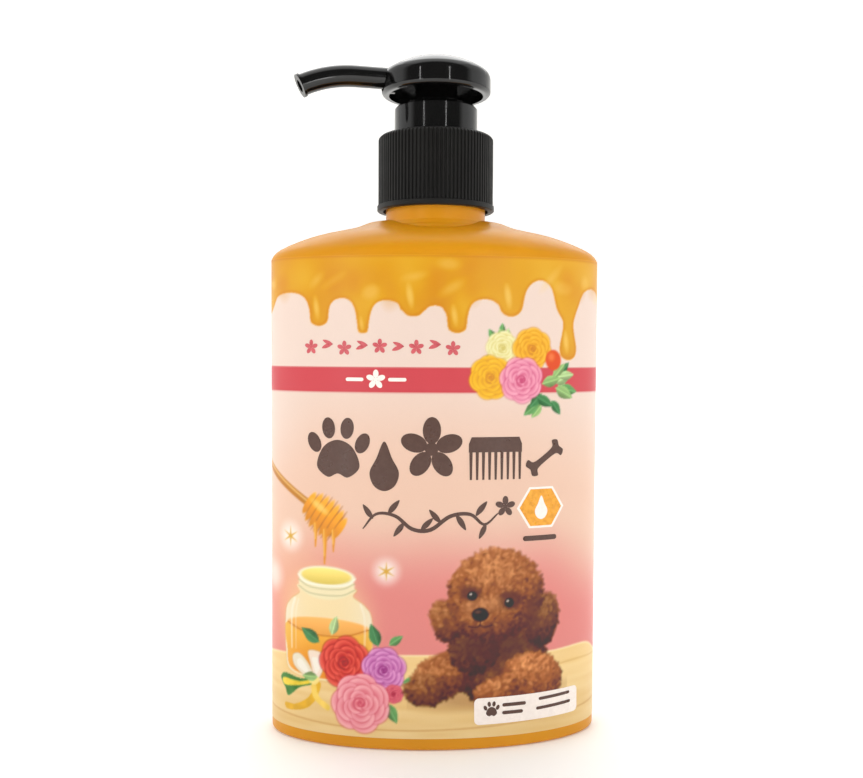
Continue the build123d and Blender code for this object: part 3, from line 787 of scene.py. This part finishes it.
def ink_material(name, rgb, drift=8):
    """A raised ink of one colour, with the small drift of a real print."""
    n = Nodes(name)
    low = rgba([max(c - drift, 0) for c in rgb])
    high = rgba([min(c + drift, 255) for c in rgb])
    n.link(n.ramp(n.noise(900, 4), (0.3, low), (0.7, high)), n.shader.inputs["Base Color"])
    film_surface(n, 0.30)
    return n.material


# ------------------------------------------------------------------ raised inks: crisp small shapes

def ink_shapes(name, outlines, material, lift=0.05):
    """Flat shapes laid on the sleeve; each outline is a closed list of label points."""
    build = bmesh.new()
    for outline in outlines:
        corners = [build.verts.new((s, z, 0)) for s, z in outline]
        build.faces.new(corners)
    bmesh.ops.triangulate(build, faces=build.faces[:])
    low = min(v.co.x for v in build.verts)
    high = max(v.co.x for v in build.verts)
    for cut in np.arange(math.ceil(low), high, 1.0):  # a cut each millimetre lets the shape bend round
        everything = build.verts[:] + build.edges[:] + build.faces[:]
        bmesh.ops.bisect_plane(build, geom=everything, plane_co=(cut, 0, 0), plane_no=(1, 0, 0), dist=1e-5)
    flat = np.array([v.co[:2] for v in build.verts])
    for vertex, place in zip(build.verts, on_sleeve(flat[:, 0], flat[:, 1], lift)):
        vertex.co = place
    for face in build.faces:
        if face.normal.dot(face.calc_center_median() * Vector((1, 1, 0))) < 0:
            face.normal_flip()
    mesh = bpy.data.meshes.new(name)
    build.to_mesh(mesh)
    build.free()
    mesh.shade_smooth()
    return add_piece(name, mesh, material)


def stroke(points, width, ends=0.35):
    """A brush stroke along a curve: full in the middle, thinner at its ends."""
    line = smooth_line(points, closed=False, steps=6)
    run = np.gradient(line, axis=0)
    run /= np.linalg.norm(run, axis=1)[:, None]
    side = np.stack([-run[:, 1], run[:, 0]], 1)
    t = np.linspace(0, 1, len(line))
    half = (width / 2 * (ends + (1 - ends) * np.sin(math.pi * t) ** 0.6))[:, None]
    return np.vstack([line + side * half, (line - side * half)[::-1]])


def moved(outline, s, z, scale=1.0, turn=0.0):
    """An outline drawn round the origin, scaled, turned and carried to (s, z)."""
    p = np.asarray(outline, float) * scale
    c, d = math.cos(turn), math.sin(turn)
    return np.stack([s + p[:, 0] * c - p[:, 1] * d, z + p[:, 0] * d + p[:, 1] * c], 1)


def oval(s, z, rx, ry, turn=0.0, steps=28):
    angle = np.linspace(0, 2 * math.pi, steps, endpoint=False)
    return moved(np.stack([rx * np.cos(angle), ry * np.sin(angle)], 1), s, z, 1.0, turn)


def paw(s, z, size):
    pad = smooth_line([(0, 0.30), (0.42, 0.10), (0.62, -0.42), (0.30, -0.72), (0, -0.62), (-0.30, -0.72),
                       (-0.62, -0.42), (-0.42, 0.10)])
    toes = ((-0.70, 0.22, 0.45), (-0.27, 0.62, 0.12), (0.27, 0.62, -0.12), (0.70, 0.22, -0.45))
    return [moved(pad, s, z, size),
            *(oval(s + x * size, z + y * size, 0.19 * size, 0.29 * size, turn) for x, y, turn in toes)]


def bone(s, z, size, turn):
    outline = smooth_line([(-0.62, 0.20), (-0.80, 0.46), (-1.06, 0.30), (-0.98, 0.0), (-1.06, -0.30),
                           (-0.80, -0.46), (-0.62, -0.20), (0, -0.15), (0.62, -0.20), (0.80, -0.46),
                           (1.06, -0.30), (0.98, 0.0), (1.06, 0.30), (0.80, 0.46), (0.62, 0.20), (0, 0.15)])
    return [moved(outline, s, z, size, turn)]


def drop(s, z, size):
    outline = smooth_line([(0, 1.0), (0.30, 0.36), (0.56, -0.18), (0.40, -0.68), (0, -0.88), (-0.40, -0.68),
                           (-0.56, -0.18), (-0.30, 0.36)])
    return [moved(outline, s, z, size)]


def comb(s, z, size):
    back = moved([(-1, 0.55), (-0.9, 0.8), (0.9, 0.8), (1, 0.55), (1, 0.25), (-1, 0.25)], s, z, size)
    teeth = [moved([(x - 0.06, 0.25), (x + 0.06, 0.25), (x + 0.04, -0.75), (x - 0.04, -0.75)], s, z, size)
             for x in np.linspace(-0.92, 0.92, 9)]
    return [back, *teeth]


def bloom(s, z, size):
    petals = [oval(s + 0.55 * size * math.cos(a), z + 0.55 * size * math.sin(a), 0.40 * size, 0.27 * size, a)
              for a in np.linspace(0.3, 0.3 + 2 * math.pi, 5, endpoint=False)]
    return [*petals, oval(s, z, 0.2 * size, 0.2 * size)]


def leaf(s, z, length, turn):
    blade = [(0, 0), (0.3, 0.16), (0.65, 0.15), (1, 0), (0.65, -0.13), (0.3, -0.13)]
    return moved(smooth_line(blade), s, z, length, turn)


def rounded_box(s, z, width, height, turn=0.0, radius=None):
    """A box with round corners; without a radius its ends are half circles."""
    r = radius or min(width, height) / 2
    points = []
    for cs, cz, start in ((1, 1, 0), (-1, 1, 90), (-1, -1, 180), (1, -1, 270)):
        for k in range(5):
            a = math.radians(start + 22.5 * k)
            points.append((cs * (width / 2 - r) + r * math.cos(a), cz * (height / 2 - r) + r * math.sin(a)))
    return moved(points, s, z, 1.0, turn)


def make_inks():
    """Plain pictograms and bars stand where the words were."""
    brown = ink_material("brown ink", BROWN, 4)
    cream = ink_material("cream ink", (252, 240, 232), 4)
    red = ink_material("rose ink", (206, 92, 98))
    amber = ink_material("amber ink", (236, 160, 34), 14)
    title = [*paw(-25.4, 75.6, 9.2), *drop(-13.4, 71.6, 6.6), *bloom(-1.6, 76.4, 8.4), *comb(14.6, 73.8, 6.9),
             *bone(28.0, 73.8, 5.2, 0.62)]
    vine = [(-18.8, 56.2), (-15.4, 60.0), (-10.6, 59.6), (-6.4, 56.4), (-1.8, 56.2), (3.2, 59.6), (8.2, 60.0),
            (11.8, 57.4), (15.4, 60.2)]
    title.append(stroke(vine, 1.0, 0.25))
    for s, z, size, turn in ((-16.2, 58.8, 4.4, 2.2), (-12.4, 60.0, 4.6, 0.9), (-8.4, 58.0, 4.4, -2.2),
                             (-4.2, 56.0, 4.4, 0.8), (0.8, 58.0, 4.4, 2.3), (4.6, 59.9, 4.6, -1.0),
                             (9.6, 59.6, 4.6, 0.9), (12.2, 57.6, 4.2, -2.0)):
        title.append(leaf(s, z, size, turn))
    title += [*bloom(17.2, 61.8, 2.8), rounded_box(26.8, 53.4, 9.6, 1.3)]
    ink_shapes("print_title", title, brown)
    band = [*bloom(-15.6, 93.6, 2.6), rounded_box(-21.0, 93.6, 4.6, 0.9), rounded_box(-10.2, 93.6, 4.6, 0.9)]
    ink_shapes("print_band", band, cream)
    line = []
    for k in range(9):
        s, z = -32.8 + 4.55 * k, 101.6 + 0.3 * math.sin(2.1 * k)
        if k % 2 == 0:
            line += bloom(s, z, 2.0)
        else:
            line += [leaf(s - 1.5, z - 0.5, 3.2, 0.35), leaf(s + 1.5, z + 0.4, 3.0, 2.75)]
    ink_shapes("print_line", line, red)
    hexagon = oval(0, 0, 6.0, 5.4, steps=6)
    ink_shapes("print_hexagon_rim", [moved(hexagon, 27.0, 61.2, 1.12)], cream, 0.02)
    ink_shapes("print_hexagon", [moved(hexagon, 27.0, 61.2)], amber, 0.05)
    ink_shapes("print_hexagon_mark", drop(27.0, 61.0, 3.2), cream, 0.08)
    ink_shapes("print_tag", [rounded_box(24.3, 10.0, 29.6, 6.8, 0.01, 1.2)], cream, 0.03)
    marks = [*paw(14.0, 10.2, 2.3), rounded_box(20.0, 11.2, 6.4, 0.9), rounded_box(19.6, 9.2, 5.6, 0.9)]
    marks += [rounded_box(31.6, 12.0, 9.6, 0.8, 0.04), rounded_box(31.4, 9.6, 10.6, 0.8, 0.04)]
    ink_shapes("print_tag_marks", marks, brown, 0.07)
    back = []
    for s, longest, cycle, step in ((ROUND - 24, 30, 4, 3.0), (24 - ROUND, 28, 3, 4.0)):
        back += paw(s, 72, 8.0)
        back += [rounded_box(s, 56 - 3.2 * k, longest - (k % cycle) * step, 0.9) for k in range(8)]
    ink_shapes("print_back", back, brown)


def make_sleeve():
    """Three printed sheets and the raised inks in place of the plain sleeve."""
    material = print_material()
    front = add_piece("sleeve_front", sheet_mesh("sleeve_front", paint_front()), material)
    add_piece("sleeve_back_right", sheet_mesh("sleeve_back_right", paint_back(1)), material)
    add_piece("sleeve_back_left", sheet_mesh("sleeve_back_left", paint_back(-1)), material)
    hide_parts("label_sleeve")
    make_inks()


# ------------------------------------------------------------------ the spring


def make_spring(material):
    """The return spring's own coil, a copy of its mesh carried by the pump frame."""
    coil = bpy.data.objects.new("spring_coil", NODES["return_spring"].data.copy())
    bpy.context.scene.collection.objects.link(coil)
    coil.data.materials.clear()
    coil.data.materials.append(material)
    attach(coil, "pump_frame")
    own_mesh(coil)
    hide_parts("return_spring")


# ------------------------------------------------------------------ studio


def area_light(name, place, target, width, height, power):
    lamp = bpy.data.lights.new(name, "AREA")
    lamp.shape = "RECTANGLE"
    lamp.size, lamp.size_y = width, height
    lamp.energy = power
    holder = bpy.data.objects.new(name, lamp)
    holder.location = place
    holder.rotation_euler = (Vector(target) - Vector(place)).to_track_quat("-Z", "Y").to_euler()
    bpy.context.scene.collection.objects.link(holder)
    return holder


def make_sweep():
    """A pale paper floor that curves up into the background, glowing with painted light by emission that is
    weak near the bottle and stronger further out.
    """
    front, back, half_width, bend, rise = -2.6, 1.3, 3, 0.7, 1.6
    profile = [(front, 0.0), (back, 0.0)]
    for turn in np.linspace(0.1, math.pi / 2, 15):
        profile.append((back + bend * math.sin(turn), bend - bend * math.cos(turn)))
    profile.append((back + bend, rise))
    corners = [(x, y, z) for y, z in profile for x in (-half_width, half_width)]
    quads = [(k, k + 1, k + 3, k + 2) for k in range(0, len(corners) - 2, 2)]
    mesh = bpy.data.meshes.new("floor")
    mesh.from_pydata(corners, [], quads)
    mesh.shade_smooth()
    n = Nodes("floor paper")
    n.link(n.ramp(n.noise(30), (0.3, rgba((250, 249, 246))), (0.7, rgba((253, 252, 249)))),
           n.shader.inputs["Base Color"])
    away = n.node("ShaderNodeVectorMath", operation="LENGTH")
    n.link(n.place, away.inputs[0])
    # painted light: the floor glows by emission, 0.10 near the bottle rising to 0.52 further out
    glow = n.span(away.outputs["Value"], 0.10, 0.52, 0.05, 0.40, interpolation_type="SMOOTHSTEP")
    n.link(glow, n.shader.inputs["Emission Strength"])  # far paper washes out, near paper keeps a shadow
    mesh.materials.append(n.set(Roughness=0.6, Emission_Color=(1, 0.995, 0.98, 1)).material)
    return bpy.data.objects.new("floor", mesh)


def make_surround():
    """White all round and darker behind the camera, so that the black head has something to mirror."""
    world = bpy.data.worlds.new("surround")
    world.use_nodes = True
    bpy.context.scene.world = world
    tree = world.node_tree
    place = tree.nodes.new("ShaderNodeTexCoord")
    split = tree.nodes.new("ShaderNodeSeparateXYZ")
    ramp = tree.nodes.new("ShaderNodeValToRGB")
    spread = tree.nodes.new("ShaderNodeMapRange")
    spread.inputs["From Min"].default_value = -1
    tree.links.new(place.outputs["Generated"], split.inputs["Vector"])
    tree.links.new(split.outputs["Y"], spread.inputs["Value"])
    tree.links.new(spread.outputs["Result"], ramp.inputs["Fac"])
    stops = ((0.28, (0.13, 0.13, 0.128, 1)), (0.40, (0.97, 0.975, 0.965, 1)))
    for element, (position, colour) in zip(ramp.color_ramp.elements, stops):
        element.position = position
        element.color = colour
    tree.links.new(ramp.outputs["Color"], tree.nodes["Background"].inputs["Color"])


def make_studio():
    """The surround, a pale floor and soft lights."""
    bpy.context.scene.view_settings.view_transform = "Standard"
    make_surround()
    floor = make_sweep()
    bpy.context.scene.collection.objects.link(floor)
    aim, head = (0, 0, 0.10), (0, 0, 0.17)
    for name, place, power in (("key", (-0.55, -0.45, 0.36), 1.68), ("fill", (0.60, -0.45, 0.26), 1.55)):
        lamp = area_light(name, place, aim, 0.5, 0.5, power)
        lamp.visible_glossy = False  # the polished black stays dark in the middle
    area_light("top", (0, 0.05, 0.75), aim, 0.9, 0.7, 1.0)
    area_light("rim", (0, 0.45, 0.66), head, 1.0, 0.42, 1.6)
    strip_distance = 0.7  # two thin strips draw the fine lines down the black head
    for side, angle in ((-1, 35.6), (1, 24.9)):
        turn = math.radians(angle)
        place = (side * strip_distance * math.sin(turn), -strip_distance * math.cos(turn), 0.20)
        area_light(f"strip_{side}", place, head, 0.014, 0.5, 0.25)


def make_camera():
    """The photograph's view, from the front at mid height."""
    distance, height, yaw, pitch, roll = 0.268, 0.100, 0.045, 0.043, 0.005
    data = bpy.data.cameras.new("camera")
    data.sensor_width = 36
    data.lens = 41.715
    data.shift_x, data.shift_y = -0.0036, 0.0093
    data.clip_start = 0.01
    camera = bpy.data.objects.new("camera", data)
    bpy.context.scene.collection.objects.link(camera)
    camera.location = (-distance * math.sin(yaw), -distance * math.cos(yaw), height)
    ahead = Vector((math.sin(yaw) * math.cos(pitch), math.cos(yaw) * math.cos(pitch), -math.sin(pitch)))
    camera.rotation_mode = "QUATERNION"
    camera.rotation_quaternion = ahead.to_track_quat("-Z", "Y") @ Quaternion((0, 0, 1), roll)
    bpy.context.scene.camera = camera


make_camera()
make_studio()
materials = make_materials()
dress_nodes(materials)
make_sleeve()
make_spring(materials["steel"])
